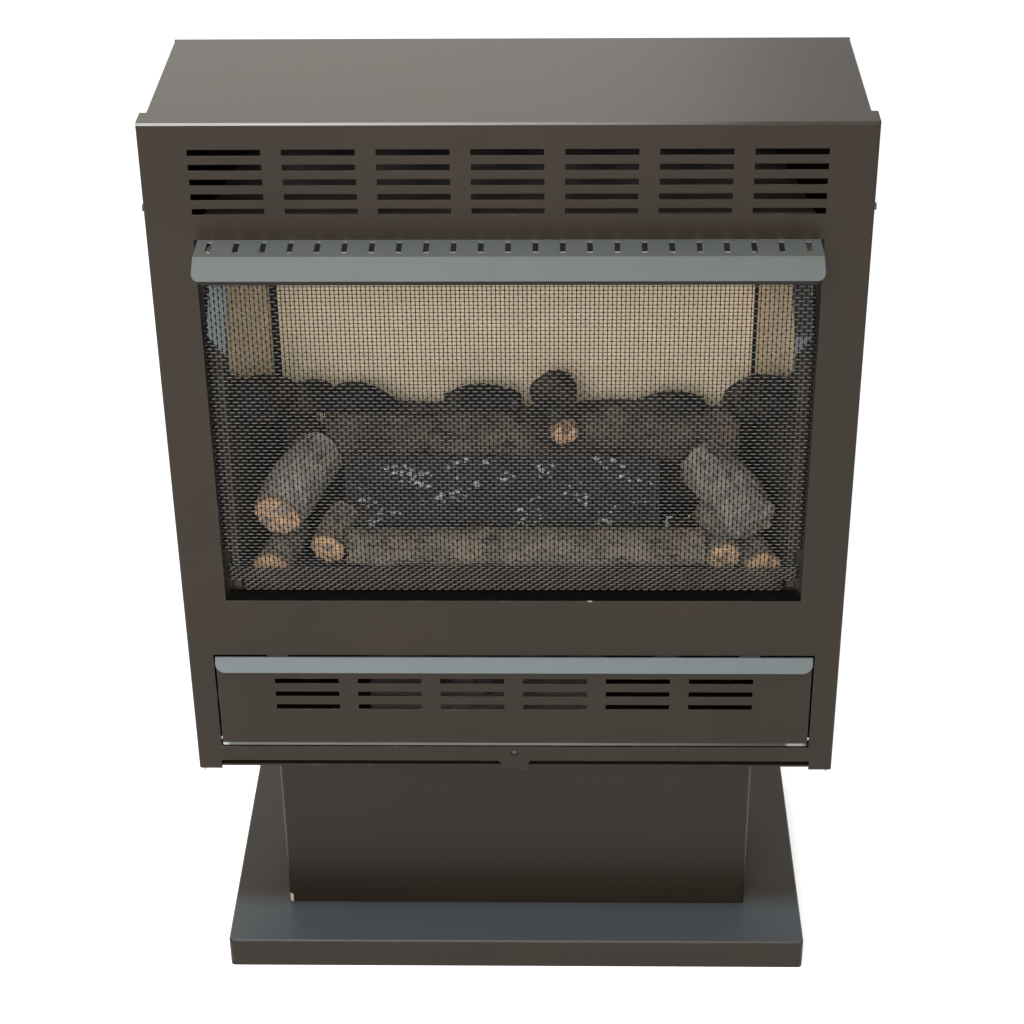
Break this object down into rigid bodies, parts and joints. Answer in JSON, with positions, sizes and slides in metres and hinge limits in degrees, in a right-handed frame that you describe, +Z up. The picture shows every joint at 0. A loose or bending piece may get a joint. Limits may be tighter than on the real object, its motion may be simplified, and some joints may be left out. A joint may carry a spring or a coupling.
{
  "type": "vent free gas stove",
  "caption": "Free-standing gas room heater: a slotted steel cabinet on a pedestal, with a ceramic log fire behind a wire screen under a sloping hood.",
  "frame": {"origin": "Centre of the pedestal foot's underside, on the floor.", "axes": "+Z is up, the fire and the controls face -Y, and +X is to the right of someone who faces the stove from the front."},
  "size_m": [0.6964, 0.337, 0.9943],
  "materials": {
    "brown_paint": "satin dark brown enamel, worn to bare metal at some edges",
    "hood_finish": "smooth grey satin metal",
    "screen_wire": "black woven wire, worn bright at the crossings",
    "strap_steel": "dull grey sheet",
    "plated_steel": "zinc plated",
    "firebox_steel": "aluminised sheet, a little sooted",
    "cast_grate": "matt black",
    "liner_board": "pale cream fibre board",
    "log_ceramic": "rough bark moulded in ceramic, painted grey-brown",
    "char_ceramic": "rough charred bark, painted nearly black",
    "ember_ceramic": "lumpy dark embers with pale ash",
    "brass": "plain brass",
    "cast_aluminium": "cast and drawn aluminium",
    "knob_plastic": "black heat resistant plastic",
    "red_plastic": "glossy red",
    "wire_cover": "pale silicone sleeve",
    "white_ceramic": "white glazed insulator",
    "magnet": "dark ferrite in a plated cup"
  },
  "bodies": {
    "stove": {"back_liner": "liner_board", "back_panel": "brown_paint", "back_screws": "plated_steel", "base_plate": "brown_paint", "base_stiffener": "brown_paint", "bottom_pan": "brown_paint", "burner_pan": "firebox_steel", "burner_venturi": "firebox_steel", "cabinet_shell": "brown_paint", "centre_log": "log_ceramic", "column_back": "brown_paint", "column_shell": "brown_paint", "control_bracket": "plated_steel", "door_hinges": "plated_steel", "door_magnets": "magnet", "ember_bed": "ember_ceramic", "firebox_floor": "firebox_steel", "firebox_roof": "firebox_steel", "firebox_shell": "firebox_steel", "front_log": "log_ceramic", "front_screws": "plated_steel", "front_surround": "brown_paint", "gas_inlet_fitting": "brass", "gas_tubes": "cast_aluminium", "gas_valve": "cast_aluminium", "hood": "hood_finish", "igniter_body": "knob_plastic", "igniter_electrode": "white_ceramic", "igniter_spring": "plated_steel", "igniter_wire": "wire_cover", "left_char_log": "char_ceramic", "left_front_log": "log_ceramic", "left_liner": "liner_board", "left_log": "log_ceramic", "left_low_log": "log_ceramic", "left_rear_log": "log_ceramic", "log_grate": "cast_grate", "middle_char_log": "char_ceramic", "pedestal_bolts": "plated_steel", "pilot_bracket": "plated_steel", "pilot_burner": "brass", "rear_log": "log_ceramic", "rear_log_brackets": "plated_steel", "regulator": "cast_aluminium", "right_char_log": "char_ceramic", "right_front_log": "log_ceramic", "right_liner": "liner_board", "right_log": "log_ceramic", "right_low_log": "log_ceramic", "right_rear_log": "log_ceramic", "thermocouple": "brass"},
    "door": {"control_door": "brown_paint"},
    "screen": {"mesh_screen": "screen_wire", "screen_hanger_left": "strap_steel", "screen_hanger_right": "strap_steel"},
    "gas_stem": {"valve_stem": "plated_steel"},
    "gas_knob": {"gas_knob": "knob_plastic"},
    "flame_knob": {"flame_knob": "knob_plastic"},
    "igniter_button": {"igniter_button": "red_plastic"}
  },
  "joints": [
    {"name": "door_drop", "type": "hinge", "parent": "stove", "child": "door", "pos_m": [0, -0.108, 0.279], "axis": [1, 0, 0], "range_deg": [0, 90]},
    {"name": "gas_push", "type": "slide", "parent": "stove", "child": "gas_stem", "axis": [0, 1, 0], "range_m": [0, 0.004], "stiffness_N_per_m": 900, "springref_m": -0.003},
    {"name": "gas_turn", "type": "hinge", "parent": "gas_stem", "child": "gas_knob", "pos_m": [-0.085, -0.0695, 0.3329], "axis": [0, -1, 0], "range_deg": [0, 180]},
    {"name": "flame_turn", "type": "hinge", "parent": "stove", "child": "flame_knob", "pos_m": [-0.027, -0.0695, 0.3329], "axis": [0, -1, 0], "range_deg": [0, 180]},
    {"name": "igniter_press", "type": "slide", "parent": "stove", "child": "igniter_button", "axis": [0, 1, 0], "range_m": [0, 0.006], "stiffness_N_per_m": 1500, "springref_m": -0.003, "deforming": ["igniter_spring"]},
    {"name": "screen_lift_off", "type": "slide", "parent": "stove", "child": "screen", "axis": [0, -1, 0], "range_m": [0, 0.08]}
  ]
}
